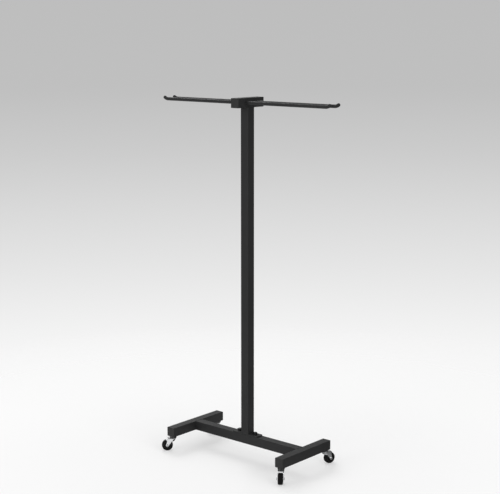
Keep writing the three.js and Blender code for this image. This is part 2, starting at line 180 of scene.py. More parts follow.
def lathe(profile, sides=48):
    """Turns (r, z) points round Z: x = r cos a, y = r sin a."""
    r, z = np.asarray(profile, float).T[..., None]
    a = full_turn(sides)
    return facing_out(grid(surface(r * np.cos(a), r * np.sin(a), z)))


print("a softened right angle has", len(softened([(0, 0), (1, 0), (1, 1)], 0.2)), "points")


# %% Round-cornered outlines and straight runs
def block_outline(length, width, corner, inset=0.0, steps=6):
    """Rectangle with round corners: from each corner's centre, c + (corner - inset) (cos a,
    sin a) over a quarter turn."""
    quarter = np.arange(4)[:, None] * np.pi / 2
    a = quarter + np.linspace(0, np.pi / 2, steps + 1)[None, :]
    across, along = np.sign(np.cos(quarter + np.pi / 4)), np.sign(np.sin(quarter + np.pi / 4))
    x = across * (length / 2 - corner) + (corner - inset) * np.cos(a)
    y = along * (width / 2 - corner) + (corner - inset) * np.sin(a)
    return np.stack([x.ravel(), y.ravel()], axis=1)


def square_outline(side, corner, inset=0.0):
    """The same with equal sides."""
    return block_outline(side, side, corner, inset)


def run(outlines, heights):
    """Stands flat outlines of equally many points on each other at the given heights."""
    rows = [surface(*outline.T, z) for outline, z in zip(outlines, heights)]
    return facing_out(grid(np.stack(rows)))


print("an outline of the tube has", len(square_outline(tube_side, tube_corner)), "points")


# %% [markdown]
# ## Making a piece
# A piece takes its form, its finish, the body that it moves with and the CAD nodes that it stands
# for. Doubled points at seams and poles are merged, and a weighted normal keeps the big flat
# faces flat while the small curves between them shade smoothly. Each point also carries its share
# of painted shade, which darkens the zinc round the casters' bearings.

# %% Pieces
merge_distance = 0.002
made = {}


def mesh_of(name, form, finish, painted_shade=0.0):
    """Mesh object of a form, with one finish and every point's share of painted shade."""
    points, faces = form
    mesh = bpy.data.meshes.new(name)
    mesh.from_pydata((points * MM).tolist(), [], faces.tolist())
    # Each point's share of painted shade goes into a point attribute that the zinc reads.
    share = np.broadcast_to(np.asarray(painted_shade, np.float32), len(points))
    mesh.attributes.new("painted_shade", "FLOAT", "POINT").data.foreach_set("value", share)
    merging = bmesh.new()
    merging.from_mesh(mesh)
    bmesh.ops.remove_doubles(merging, verts=merging.verts, dist=merge_distance * MM)
    merging.to_mesh(mesh)
    merging.free()
    mesh.polygons.foreach_set("use_smooth", np.ones(len(mesh.polygons), bool))
    mesh.materials.append(finish)
    made[name] = len(mesh.polygons)
    obj = bpy.data.objects.new(name, mesh)
    bpy.context.scene.collection.objects.link(obj)
    return obj


def piece(name, form, finish, *nodes, body="frame", modifiers=(), painted_shade=0.0):
    """The same with its modifiers, body, material slot and the nodes that it replaces."""
    obj = mesh_of(name, form, finish, painted_shade)
    for kind, settings in (*modifiers, ("WEIGHTED_NORMAL", {"weight": 60})):
        modifier = obj.modifiers.new(kind.lower(), kind)
        for key, value in settings.items():
            setattr(modifier, key, value)
    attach(obj, body)
    if nodes:
        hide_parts(*nodes)


print("points closer than", merge_distance, "mm become one")


# %% [markdown]
# ## Shader maths as plain expressions
# A finish varies from place to place, and that variation is arithmetic. A small class wraps a
# socket, so that a sum or a product of sockets adds the Math nodes by itself.

# %% Values and finishes
class Value:
    """A socket that can be reckoned with."""

    def __init__(self, finish, socket):
        self.finish, self.socket = finish, socket

    def maths(self, operation, a, b):
        """A Math node on two values or numbers."""
        return self.finish.add("ShaderNodeMath", {"operation": operation}, {0: a, 1: b})

    def __add__(self, other):
        return self.maths("ADD", self, other)

    def __sub__(self, other):
        return self.maths("SUBTRACT", self, other)

    def __rsub__(self, other):
        return self.maths("SUBTRACT", other, self)

    def __mul__(self, other):
        return self.maths("MULTIPLY", self, other)

    __radd__, __rmul__ = __add__, __mul__


class Finish:
    """A node tree under construction. It starts with Object coordinates, in metres."""

    def __init__(self, tree, source="Object"):
        self.tree = tree
        self.place = self.add("ShaderNodeTexCoord", {}, {}, source)

    def add(self, kind, settings, sockets, out=0):
        """Adds a node: its settings first, then the values or links of its sockets."""
        node = self.tree.nodes.new(kind)
        stops = settings.pop("stops", ())
        for key, value in settings.items():
            setattr(node, key, value)
        for k, (position, colour) in enumerate(stops):
            elements = node.color_ramp.elements
            element = elements[k] if k < len(elements) else elements.new(position)
            element.position, element.color = position, colour
        for key, value in sockets.items():
            if isinstance(value, Value):
                self.tree.links.new(value.socket, node.inputs[key])
            else:
                node.inputs[key].default_value = value
        return Value(self, node.outputs[out]) if node.outputs else None

    def noise(self, size, detail=2.0, stretch=None):
        """Noise whose features are about size millimetres across, from 0 to 1."""
        place = self.place
        if stretch:
            place = self.add("ShaderNodeMapping", {}, {"Vector": place, "Scale": stretch})
        return self.add("ShaderNodeTexNoise", {}, {
            "Vector": place, "Scale": 1 / (size * MM), "Detail": detail, "Roughness": 0.55})

    def mixed(self, share, a, b):
        """Colour a where share is 0, colour b where it is 1."""
        return self.add("ShaderNodeMix", {"data_type": "RGBA"}, {"Factor": share, 6: a, 7: b}, 2)

    def spread(self, value, low, high):
        """Stretches low..high of a value to 0..1 and clips the rest."""
        return self.add("ShaderNodeMapRange", {},
                        {"Value": value, "From Min": low, "From Max": high})

    def vector(self, operation, a, b=(0.0, 0.0, 0.0)):
        """DOT_PRODUCT or DISTANCE of two vectors, or the LENGTH of one."""
        return self.add("ShaderNodeVectorMath", {"operation": operation}, {0: a, 1: b}, "Value")

    def rays(self, kind):
        """1 for Camera, Glossy or Transmission rays, 0 for all others."""
        return self.add("ShaderNodeLightPath", {}, {}, f"Is {kind} Ray")

    def layered(self, share, a, b):
        """Shader a where share is 0, shader b where it is 1."""
        return self.add("ShaderNodeMixShader", {}, {0: share, 1: a, 2: b})

    def upward(self):
        """1 on faces that look up, less on those that lean, 0 from 60 degrees on."""
        normal = self.add("ShaderNodeNewGeometry", {}, {}, "Normal")
        return self.spread(self.vector("DOT_PRODUCT", normal, (0, 0, 1)), 0.5, 1.0)

    def edges(self, radius):
        """1 on outer and inner edges, where a bevel of this radius would turn the normal."""
        normal = self.add("ShaderNodeNewGeometry", {}, {}, "Normal")
        rounded = self.add("ShaderNodeBevel", {"samples": 4}, {"Radius": radius * MM})
        return self.spread(1 - self.vector("DOT_PRODUCT", rounded, normal), 0.01, 0.12)


def grey(level, tint=0.0):
    """A grey, or a slightly blue one where tint is over 0."""
    return (level * (1 - tint), level, level * (1 + tint), 1.0)


def finish(slot, build, **fixed):
    """Material whose even values are set on the sockets and whose build function returns the
    colour, the roughness and the relief: a height from 0 to 1 and its depth in millimetres."""
    material = bpy.data.materials.new(f"{slot}_finish")
    material.use_nodes = True
    shader = material.node_tree.nodes["Principled BSDF"]
    for socket, value in fixed.items():
        shader.inputs[socket.replace("_", " ")].default_value = value
    f = Finish(material.node_tree)
    colour, roughness, height, depth = build(f)
    normal = f.add("ShaderNodeBump", {},
                   {"Height": height, "Distance": depth * MM, "Strength": 0.6})
    for socket, value in (("Base Color", colour), ("Roughness", roughness), ("Normal", normal)):
        f.tree.links.new(value.socket, shader.inputs[socket])
    print("made", slot, "with", len(f.tree.nodes), "nodes")
    return material


# %% [markdown]
# ## Black powder coat
# Powder is sprayed on dry and melts into a tough skin with a fine orange peel. It is not quite
# black, and not quite even: the colour shifts a little from place to place, the faces that look
# up carry a breath of dust, and along the edges, where hands and boxes rub, the skin is polished
# and painted paler as a highlight.

# %% Powder coat
coat_dark, coat_light = grey(0.0175, 0.01), grey(0.0235, 0.02)
# The paler grey on the edges is partly wear and partly a painted highlight.
coat_dusty, coat_polish_and_highlight = grey(0.16), grey(0.065)


def powder_coat(f):
    """Two blacks mixed over 60 mm patches, paler by dust on top and, on edges, by polish and a
    painted highlight. The relief is orange peel of 1.1 mm with a quarter of finer grain."""
    patches, peel, grain = f.noise(60, 3), f.noise(1.1, 2), f.noise(0.35, 1)
    dust = f.upward() * f.spread(f.noise(14, 5), 0.35, 0.75)
    # Edges are made paler by rubbing and by a painted highlight.
    rubbed = f.edges(1.2) * f.spread(f.noise(9, 4), 0.4, 0.65)
    dusty = f.mixed(dust * 0.14, f.mixed(patches, coat_dark, coat_light), coat_dusty)
    colour = f.mixed(rubbed * 0.55, dusty, coat_polish_and_highlight)
    roughness = 0.4 + patches * 0.1 + grain * 0.08 + dust * 0.12 - rubbed * 0.12
    return colour, roughness, peel * 0.75 + grain * 0.25, 0.11


coat = finish("powder_coat", powder_coat, Specular_IOR_Level=0.15)


# %% [markdown]
# ## Moulded plastic
# The end caps and the wheel centres come out of a mould. Its steel is lightly eroded, so the
# plastic has an even fine grain, a shade softer than the paint beside it. Its edges, where it was
# knocked in with a mallet, are a little paler.

# %% Plastics
cap_dark, cap_light, cap_knocked = grey(0.018), grey(0.026), grey(0.06)
nylon_dark, nylon_light, nylon_scuffed = grey(0.006), grey(0.01), grey(0.035)


def cap_plastic(f):
    """Two blacks mixed over 9 mm clouds, paler on worn edges, with a fine eroded grain."""
    cloud, grain = f.noise(9, 3), f.noise(0.28, 2)
    rubbed = f.edges(0.8) * f.spread(f.noise(4, 4), 0.4, 0.7)
    colour = f.mixed(rubbed * 0.4, f.mixed(cloud, cap_dark, cap_light), cap_knocked)
    return colour, 0.44 + cloud * 0.1 + grain * 0.12, grain, 0.05


def wheel_nylon(f):
    """Two deeper blacks mixed over 5 mm clouds, with paler and rougher scuffs."""
    cloud, grain = f.noise(5, 3), f.noise(0.3, 2)
    scuffs = f.spread(f.noise(2.5, 5), 0.55, 0.75)
    colour = f.mixed(scuffs * 0.3, f.mixed(cloud, nylon_dark, nylon_light), nylon_scuffed)
    return colour, 0.36 + cloud * 0.1 + scuffs * 0.2, grain, 0.02


plastic = finish("black_plastic", cap_plastic, Specular_IOR_Level=0.2)
nylon = finish("nylon", wheel_nylon, Specular_IOR_Level=0.25)


# %% [markdown]
# ## Bright zinc and blackened steel
# The caster's sheet metal is rolled, stamped and then plated. The plating follows the rolling
# lines of the sheet and blooms a little, so its gloss wanders while its colour hardly does. On
# the edges it is thin and bright. Round the bearings the zinc is darker and rougher with painted
# shade. The base bolts are steel with a thin black oxide, which rubs off on high spots.

# %% Metals
zinc_dull, zinc_clear = (0.74, 0.75, 0.77, 1), (0.88, 0.885, 0.885, 1)
# The dark grey is painted shade, laid on the zinc round the casters' bearings.
zinc_edge, painted_shade_grey = grey(0.9), grey(0.035)
oxide_dark, oxide_worn = grey(0.03, 0.04), grey(0.16, 0.01)


def zinc_plate(f):
    """Two zincs mixed over a 5 mm bloom, brighter on edges, under painted shade: the point's
    share of it times 0.88 to 1. Noise stretched along Z gives the rolling lines."""
    bloom, spots = f.noise(5, 4), f.spread(f.noise(1.4, 4), 0.62, 0.8)
    lines = f.noise(0.5, 3, stretch=(1.0, 1.0, 0.12))
    # Each point's share of painted shade, made a little patchy, darkens the zinc and makes it
    # rougher.
    painted_shade = f.add("ShaderNodeAttribute", {"attribute_name": "painted_shade"}, {}, "Fac")
    film = painted_shade * (0.88 + f.spread(f.noise(2, 4), 0.3, 0.6) * 0.12)
    plated = f.mixed(f.edges(0.3) * 0.5, f.mixed(bloom, zinc_dull, zinc_clear), zinc_edge)
    roughness = 0.13 + bloom * 0.1 + lines * 0.05 + spots * 0.12 + film * 0.25
    return f.mixed(film, plated, painted_shade_grey), roughness, lines * 0.6 + bloom * 0.4, 0.015


def oxide_film(f):
    """Black oxide, with greyer steel where 1.6 mm spots and the edges rub it off."""
    film, rubbed = f.noise(4, 3), f.spread(f.noise(1.6, 5), 0.58, 0.75)
    colour = f.mixed(rubbed * 0.4 + f.edges(0.4) * 0.4, oxide_dark, oxide_worn)
    return colour, 0.32 + film * 0.2, f.noise(0.3, 2), 0.02


zinc = finish("bright_zinc", zinc_plate, Metallic=1.0)
oxide = finish("black_oxide", oxide_film, Metallic=0.9)


# %% [markdown]
# ## Rubber
# The tyres are dull black, and the floor has left a film of grey dust on them, most of it on the
# shoulders, where the rubber flexes.

# %% Rubber
rubber_black, rubber_dusty = grey(0.003), grey(0.05)


def tyre_rubber(f):
    """Black, dusty by a film of 6 mm patches and on the flexed shoulders."""
    film = f.spread(f.noise(6, 5), 0.5, 0.8)
    colour = f.mixed(film * 0.15 + f.edges(1.5) * 0.06, rubber_black, rubber_dusty)
    return colour, 0.6 + film * 0.2, f.noise(0.5, 3), 0.05


rubber = finish("tread_rubber", tyre_rubber, Specular_IOR_Level=0.12)


# %% [markdown]
# ## Square tube
# Tube is rolled from strip, so its corners are round inside and out. Its section is a pair of
# round-cornered squares, run along the longest side of its node's box and joined at both ends.

# %% Tubes of the frame
def square_tube(length, ease=0.25):
    """Outer skin from end to end, then back along the bore, with the end edges eased."""
    outer = square_outline(tube_side, tube_corner)
    eased = square_outline(tube_side, tube_corner, ease)
    bore = square_outline(tube_side - 2 * tube_gauge, tube_corner - tube_gauge)
    half = length / 2
    return run([bore, eased, outer, outer, eased, bore, bore],
               [-half, -half, ease - half, half - ease, half, half, -half])


for name, node in (("left_foot_tube", "left_foot"), ("right_foot_tube", "right_foot"),
                   ("beam_tube", "base_beam"), ("post_tube", "post"),
                   ("head_tube_run", "head_tube")):
    low, high = span(node)
    longest = np.argmax(high - low)
    tube = square_tube((high - low)[longest])
    piece(name, moved(tube, *middle_of(node), tip="xyz"[longest]), coat, node)
print("tubes:", made)


# %% [markdown]
# ## End caps
# A push-in cap is a plate as wide as the tube with four legs that grip inside it. Its face is
# very slightly crowned, which is what makes plastic look like plastic.

# %% End caps
cap_plate, cap_edge, cap_crown = 2.0, 0.5, 0.3
cap_leg_depth, cap_leg_width, cap_leg_gauge, cap_leg_play = 11.0, 3.0, 1.5, 0.3


def cap_leg():
    """An angle in the +X +Y corner: two strips as wide as the leg that meet at the corner,
    drawn as one L-shaped outline, run down into the tube and closed to a point in the bend."""
    out = tube_side / 2 - tube_gauge - cap_leg_play
    near, inner = out - cap_leg_width, out - cap_leg_gauge
    angle = [(near, inner), (near, out), (out, out), (out, near), (inner, near), (inner, inner)]
    outline = softened_ring(angle, 0.3, 2)
    middle = np.broadcast_to([(near + out) / 2, inner + cap_leg_gauge / 2], outline.shape)
    return run([middle, outline, outline, middle],
               [cap_edge, cap_edge, -cap_leg_depth, -cap_leg_depth])


def end_cap():
    """The plate's outline shrinks over its eased edge, then its face rises to the centre by
    crown (1 - s^2) for a share s of the way out."""
    q = np.linspace(0, np.pi / 2, 5)
    rims = [square_outline(tube_side, tube_corner, inset) for inset in cap_edge * (1 - np.cos(q))]
    shares = np.linspace(0.9, 0, 7)
    rise = cap_plate - cap_crown - cap_edge * (1 - np.sin(q))
    crown = cap_plate - cap_crown + cap_crown * (1 - shares ** 2)
    back = [rims[0] * 0, rims[0]]
    body = run([*back, *rims, *[rims[-1] * s for s in shares]], [0, 0, *rise, *crown])
    return joined(body, *[moved(cap_leg(), turn=turn) for turn in (0, 90, 180, 270)])


def facing_along(form, along):
    """Lays a cap that stands on Z along +Y or -Y: (x, y, z) goes to (x along, z along, y)."""
    points, faces = form
    x, y, z = points.T
    return surface(x * along, z * along, y), faces[:, ::-1]


for end, along in (("front", -1), ("back", 1)):
    cap = facing_along(end_cap(), along)
    piece(f"{end}_head_end", moved(cap, 0, along * head_high[1], head_z), plastic,
          f"{end}_head_cap")
    for side, x in (("left", -foot_x), ("right", foot_x)):
        piece(f"{end}_{side}_foot_end", moved(cap, x, along * foot_high[1], foot_z), plastic,
              f"{end}_{side}_foot_cap")
print("an end cap has", made["front_head_end"], "faces")


# %% [markdown]
# ## Rails
# Each rail is a bar bent up at both ends, with its ends rounded over. Its radius shrinks to
# nothing over the last few millimetres along a quarter circle.

# %% Rails
tip_run = 12.0
tip_rise = rail_high[2] - head_z - rail_radius
rail_reach = rail_high[0] - rail_radius


def rail(sides=32, steps=9):
    """Centre line: straight, then an arc whose height is R (1 - cos a) at R sin a along. The
    radius at a distance d past the tip's centre is sqrt(r^2 - d^2)."""
    turn = 2 * math.atan(tip_rise / tip_run)
    radius = tip_run / math.sin(turn)
    a = np.linspace(0, turn, steps)
    bend = np.column_stack([rail_reach - tip_run + radius * np.sin(a), radius * (1 - np.cos(a)), a])
    d = rail_radius * np.sin(np.linspace(0, np.pi / 2, steps)[1:])
    tip = bend[-1] + d[:, None] * np.array([math.cos(turn), math.sin(turn), 0])
    right = np.concatenate([bend, tip])
    rounded = np.sqrt(np.maximum(rail_radius ** 2 - d ** 2, 0))
    size = np.concatenate([np.full(steps, rail_radius), rounded])
    line = np.concatenate([right[::-1] * np.array([-1, 1, -1]), right])
    sizes = np.concatenate([size[::-1], size])
    b = full_turn(sides)
    out, up = np.outer(sizes, np.cos(b)), np.outer(sizes, np.sin(b))
    x = line[:, :1] - up * np.sin(line[:, 2:])
    z = line[:, 1:2] + up * np.cos(line[:, 2:])
    return facing_out(grid(surface(x, out, z)))


for end, y in (("front", -rail_y), ("back", rail_y)):
    piece(f"{end}_rail_bar", moved(rail(), 0, y, head_z), coat, f"{end}_rail")
print("a rail has", made["front_rail_bar"], "faces")


# %% [markdown]
# ## Weld beads
# The frame is welded by hand before it is coated. A bead is a row of overlapping puddles, so it
# is swept along the joint with a radius that swells and dips every couple of millimetres. The
# paint rounds it off, and only a soft ripple is left.

# %% Weld beads
beam_bead, post_bead, rail_bead, bead_depth = 1.1, 1.3, 0.9, 0.5


def bead(outline, radius, pitch=1.9, steps=6, sides=12):
    """Sweeps a circle along a closed flat outline lying at z = 0. Its radius is the given one
    times 0.9 + 0.1 |sin(pi s / pitch)| + 0.05 sin(s / 5.3) sin(s / 2.9) at s along the line."""
    closed = np.concatenate([outline, outline[:1]])
    along = np.concatenate([[0], np.cumsum(np.hypot(*np.diff(closed, axis=0).T))])
    s = np.linspace(0, along[-1], int(along[-1] / pitch * steps), endpoint=False)
    line = np.column_stack([np.interp(s, along, closed[:, k]) for k in range(2)])
    ahead = np.roll(line, -1, axis=0) - np.roll(line, 1, axis=0)
    ahead /= np.linalg.norm(ahead, axis=1, keepdims=True)
    out = np.column_stack([ahead[:, 1], -ahead[:, 0]])
    wander = 0.05 * np.sin(s / 5.3) * np.sin(s / 2.9)
    r = radius * (0.9 + 0.1 * np.abs(np.sin(np.pi * s / pitch)) + wander)[:, None]
    b = full_turn(sides)
    x, y = (line[:, k, None] + out[:, k, None] * (r * np.cos(b)) for k in range(2))
    points = surface(x, y, r * np.sin(b))
    return facing_out(grid(np.concatenate([points, points[:1]])))


joint = square_outline(tube_side - 2 * bead_depth, tube_corner)
circle = full_turn(48)
ring = np.column_stack([np.cos(circle), np.sin(circle)]) * (rail_radius + seat_gap)
beads = [moved(bead(joint, beam_bead), x, 0, foot_z, tip="x") for x in (beam_low[0], beam_high[0])]
beads += [moved(bead(joint, post_bead), z=z) for z in (post_low[2], post_high[2])]
beads += [moved(bead(ring, rail_bead), x, y, head_z, tip="x")
          for x in (head_low[0], head_high[0]) for y in (-rail_y, rail_y)]
piece("weld_beads", joined(*beads), coat)
print("weld beads:", made["weld_beads"], "faces")


# %% [markdown]
# ## Base plate, bolts and washers
# The post stands on a narrow plate, which two bolts hold to nuts inside the beam. A hexagon head
# is a bar with a cone turned onto its end, so its six corners are cut in low arcs. A thread is a
# ridge whose place climbs by one pitch in each turn.

# %% Hexagons and threads
face_share, thread_depth_share = 0.94, 0.6


def hexagon(flats, height, both=False, sides=72):
    """Distance to the edge at angle a: flats/2 / cos(a folded into +-30 degrees). A cone
    lowers the edge by (distance - face radius) tan 30, or tan 15 where both faces have one."""
    a = full_turn(sides)
    edge = flats / 2 / np.cos((a + np.pi / 6) % (np.pi / 3) - np.pi / 6)
    face = np.full(sides, face_share * flats / 2)
    fall = (edge - face) * math.tan(np.pi / (12 if both else 6))
    none = np.zeros(sides)
    rows = [(none, none), (face, none), (edge, fall if both else none),
            (edge, height - fall), (face, none + height), (none, none + height)]
    return facing_out(grid(np.stack([surface(r * np.cos(a), r * np.sin(a), z) for r, z in rows])))


def thread(diameter, pitch, bottom, top, sides=24, rows_a_turn=8):
    """Radius at height z and angle a: the ridge's height is |2f - 1| of its depth, where f is
    the fraction of (z / pitch - a / 2 pi). Both ends are drawn in to a blunt tip."""
    z = np.arange(bottom, top, pitch / rows_a_turn)
    a = full_turn(sides)
    f = (z[:, None] / pitch - a[None, :] / (2 * np.pi)) % 1.0
    taper = np.clip(np.minimum(z - bottom, top - z) / pitch, 0, 1)[:, None]
    r = diameter / 2 - thread_depth_share * pitch * (1 - np.abs(2 * f - 1) * taper)
    points = surface(r * np.cos(a), r * np.sin(a), z[:, None])
    ends = [np.broadcast_to([0, 0, h], (1, sides, 3)) for h in (z[0], z[-1])]
    return facing_out(grid(np.concatenate([ends[0], points, ends[1]])))


print("a hexagon head has", len(hexagon(10, 4)[1]), "faces")


# %% Plate, bolts and washers
bolt_diameter, bolt_pitch, bolt_flats, head_height = 6.0, 1.0, 10.0, 4.0
neck_below, neck_above, thread_below = 3, 1, 2
washer_thickness, washer_radius, washer_bore, washer_round = 1.6, 6.0, 3.3, 0.25
plate_corner = 3.0


def base_plate(ease=0.35):
    """Outlines of the plate shrink and rise over a quarter circle at both faces."""
    q = np.linspace(0, np.pi / 2, 4)
    size = plate_high - plate_low
    rims = [block_outline(size[0], size[1], plate_corner, i) for i in ease * (1 - np.sin(q))]
    climb = ease * (1 - np.cos(q))
    return run([rims[0] * 0, *rims, *rims[::-1], rims[0] * 0],
               [plate_low[2], *(plate_low[2] + climb), *(plate_high[2] - climb)[::-1],
                plate_high[2]])


def washer(bottom):
    """A softened rectangle from the bore to the rim, turned round Z."""
    top = bottom + washer_thickness
    return lathe(softened_ring([(washer_bore, bottom), (washer_radius, bottom),
                                (washer_radius, top), (washer_bore, top)], washer_round))


def base_bolt():
    """Head, plain neck and thread overlap in one piece."""
    seat, radius = bolt_high[2] - head_height, bolt_diameter / 2
    neck = lathe([(0, seat - neck_below), (radius, seat - neck_below),
                  (radius, seat + neck_above), (0, seat + neck_above)], 32)
    return joined(moved(hexagon(bolt_flats, head_height), z=seat, turn=12), neck,
                  thread(bolt_diameter, bolt_pitch, bolt_low[2], seat - thread_below))


piece("base_plate", base_plate(), coat, "post_base_plate")
for side, x in (("left", -bolt_x), ("right", bolt_x)):
    piece(f"{side}_bolt", moved(base_bolt(), x), oxide, f"{side}_base_bolt")
    piece(f"{side}_washer", moved(washer(plate_high[2] + seat_gap), x), oxide,
          f"{side}_upper_washer")
print("a bolt has", made["left_bolt"], "faces")


# %% [markdown]
# ## Caster sizes
# The four casters are the same and only point in different directions. The frame tells where
# each one swivels, how far its wheel trails and which way it points.

# %% Caster sizes
race_low, race_high = span("front_left_caster_upper_race")
caster_top, race_top, fork_top = foot_low[2], race_high[2], span("front_left_caster_fork")[1][2]
wheel_radius = axle_z = span("front_left_caster_tyre")[1][2] / 2
collar_flats, collar_height, race_height, race_sheet = 16.0, 1.5, 2.4, 1.2
ball_circle, ball_radius, kingpin_radius, kingpin_head = 5.7, 1.1, 3.0, 4.8
stem_radius, stem_pitch, stem_top = 4.0, 1.25, caster_top + 15.0
fork_half, fork_bend, fork_sheet, fork_lean = 8.7, 2.0, 1.6, 0.6
fork_tail, fork_boss, lip_run, lip_drop = 19.5, 3.8, 3.5, 3.0


swivels = {corner: middle_of(f"{corner}_caster_upper_race")
           for corner in ("front_left", "front_right", "back_left", "back_right")}
trails = {corner: middle_of(f"{corner}_caster_wheel_core") - place
          for corner, place in swivels.items()}
headings = {corner: math.degrees(math.atan2(t[1], t[0])) for corner, t in trails.items()}
trail = float(np.mean([math.hypot(t[0], t[1]) for t in trails.values()]))
print("trail", round(trail, 1), "mm, headings", [round(h, 1) for h in headings.values()])


# %% [markdown]
# ## The fork
# A small swivel caster is a good piece of press work. One blank of sheet is drawn into a hood
# with a round nose, and its sides run down to the axle. Its upper edge is a soft bend, its nose
# leans back over the wheel, and its crown is pierced for the kingpin. The hood is one sheet of
# points here: columns go round the plan from one leg over the nose to the other, and rows go up
# the side, round the bend and in over the crown to the hole. A Solidify modifier gives it the
# gauge of the sheet, and a Bevel eases the cut edges.

# %% Outline of a leg
rise, side_columns, side_rows = fork_top - axle_z, 26, 14
leg_root_share, nose_lift_share = 0.52, 1 / 12
root_z, bend_z = axle_z + leg_root_share * rise, fork_top - fork_bend
front_edge_shares = np.array([[0.6, 0.2], [0.4, 0.38]])
back_edge_shares = np.array([[1.16, 0.25], [1.06, 0.55], [1.09, 0.78]])


def smooth_line(points, steps=8):
    """Catmull-Rom curve: p = (2b + (c-a)t + (2a-5b+4c-d)t^2 + (3b-a-3c+d)t^3) / 2."""
    p = np.concatenate([points[:1], points, points[-1:]])
    a, b, c, d = p[:-3, None], p[1:-2, None], p[2:-1, None], p[3:, None]
    t = np.linspace(0, 1, steps, endpoint=False)[None, :, None]
    curve = (2 * b + (c - a) * t + (2 * a - 5 * b + 4 * c - d) * t ** 2
             + (3 * b - a - 3 * c + d) * t ** 3) / 2
    return np.concatenate([curve.reshape(-1, 2), points[-1:]])


def leg_edges():
    """Front and back edge of a leg as (x, z) lines. Both climb a quarter circle round the boss
    from its lowest point, then follow curves to the nose and to the tail."""
    a = np.linspace(0, np.pi / 2, 9)
    boss, scale, base = np.array([trail, axle_z]), np.array([trail, rise]), np.array([0, axle_z])
    left = boss + fork_boss * np.column_stack([-np.sin(a), -np.cos(a)])
    right = boss + fork_boss * np.column_stack([np.sin(a), -np.cos(a)])
    root, corner = ([fork_lean * (fork_top - z), z] for z in (root_z, bend_z))
    front = np.concatenate([left[-1:], base + front_edge_shares * scale, [root]])
    back = np.concatenate([right[-1:], base + back_edge_shares * scale, [[fork_tail, bend_z]]])
    return (np.concatenate([left[:-1], smooth_line(front), [corner]]),
            np.concatenate([right[:-1], smooth_line(back)]))


def leg_side(z):
    """Side of the fork at the heights z: x = (1 - u) front(z) + u back(z), y = half."""
    front, back = leg_edges()
    u, z = np.linspace(0, 1, side_columns), z[:, None]
    x = (1 - u) * np.interp(z, front[:, 1], front[:, 0]) + u * np.interp(z, back[:, 1], back[:, 0])
    return surface(x, fork_half, z)


print("a leg's edges have", [len(edge) for edge in leg_edges()], "points")


# %% Nose and crown of the fork
nose_turn = np.linspace(np.pi / 2, 3 * np.pi / 2, 28)


def fork_nose():
    """x = lean (top - z) + half cos a, y = half sin a, with rows from the nose's foot, which
    is highest at the front, to the bend."""
    v = np.linspace(0, 1, side_rows)[:, None]
    foot = root_z - nose_lift_share * rise * np.cos(nose_turn)
    z = foot[None] * (1 - v) + bend_z * v
    return surface(fork_lean * (fork_top - z) + fork_half * np.cos(nose_turn),
                   fork_half * np.sin(nose_turn), z)


def fork_crown(bend_rows=6, crown_rows=11):
    """Rows above the bend, for one side and for the nose. Each is a blend of the outline and
    an inner line, which goes a quarter circle round the hole and back along the middle."""
    b = np.linspace(0, np.pi / 2, bend_rows + 1)[1:, None]
    flat, hole = fork_half - fork_bend, kingpin_radius + seat_gap
    inwards = np.concatenate([b * 0, np.linspace(0, 1, crown_rows + 1)[1:, None]])
    reach = np.concatenate([flat + fork_bend * np.cos(b), np.full((crown_rows, 1), flat)])
    height = np.concatenate([bend_z + fork_bend * np.sin(b), np.full((crown_rows, 1), fork_top)])
    nose_x = fork_lean * (fork_top - height)
    run_back, quarter = np.linspace(0, fork_tail, side_columns), hole * np.pi / 2
    turn, past = np.clip(run_back / hole, 0, np.pi / 2), np.clip(run_back - quarter, 0, None)
    inner_x = hole * np.sin(turn) + past * (fork_tail - hole) / (fork_tail - quarter)
    outer_x = nose_x + run_back * (fork_tail - nose_x) / fork_tail
    x = (1 - inwards) * outer_x + inwards * inner_x
    y = (1 - inwards) * reach + inwards * hole * np.cos(turn)
    ring = (1 - inwards) * reach + inwards * hole
    return surface(x, y, height), surface(nose_x + ring * np.cos(nose_turn),
                                          ring * np.sin(nose_turn), height)


print("the nose has", fork_nose().shape[:2], "points")


# %% The fork's sheet
track_depth, track_width, lip_fade = 0.4, 0.75, 8


def fork_sheet_form():
    """One grid runs from side over nose to side, and one goes down each leg, round the boss at
    z = axle - boss cos a. The ball track lowers the crown by depth exp(-((r - circle) / width)^2),
    and the tail is rolled down by drop s^2, for a share s of the lip's run."""
    climb = np.linspace(0, np.pi / 2, 9)[:-1]
    low_z = np.concatenate([axle_z - fork_boss * np.cos(climb), np.linspace(axle_z, root_z, 11)])
    low = leg_side(low_z)
    side_crown, nose_crown = fork_crown()
    upper = leg_side(np.linspace(root_z, bend_z, side_rows))
    side = np.concatenate([upper, side_crown])
    nose, other = np.concatenate([fork_nose(), nose_crown]), np.array([1, -1, 1])
    whole = np.concatenate([side[:, :0:-1], nose, other * side[:, 1:]], axis=1)
    parts = (whole, low[:, ::-1], other * low)
    points, faces = joined(*(grid(part, around=False) for part in parts))
    r = np.hypot(points[:, 0], points[:, 1])
    on_crown = points[:, 2] > fork_top - track_depth
    track = track_depth * np.exp(-((r - ball_circle) / track_width) ** 2) * on_crown
    s = np.clip((points[:, 0] - fork_tail) / lip_run + 1, 0, 1)
    high = np.clip((points[:, 2] - bend_z) / lip_fade + 1, 0, 1)
    points[:, 2] -= track + lip_drop * s ** 2 * high
    return points, faces[:, ::-1]


def facing_up(form):
    """Half the cross product of a face's diagonals is its area vector; their sum has to look
    up, so that Solidify thickens the hood inwards."""
    points, faces = form
    p = points[faces]
    lift = np.cross(p[:, 2] - p[:, 0], p[:, 3] - p[:, 1])[:, 2].sum()
    return points, faces if lift > 0 else faces[:, ::-1]


print("a fork's sheet has", len(fork_sheet_form()[1]), "faces")


# %% [markdown]
# ## Stem and upper race
# Above the fork the pressed upper race holds its balls, and the stem's collar sits on the race.
# The kingpin passes through both and is riveted over inside the fork.

# %% Stem, race and balls
overlap, rivet_flat_share = 0.5, 0.6
kingpin_head_height, kingpin_head_rim, kingpin_round = 1.8, 0.9, 0.4
track_half, ball_seat, race_round = 0.9, 0.5, 0.4


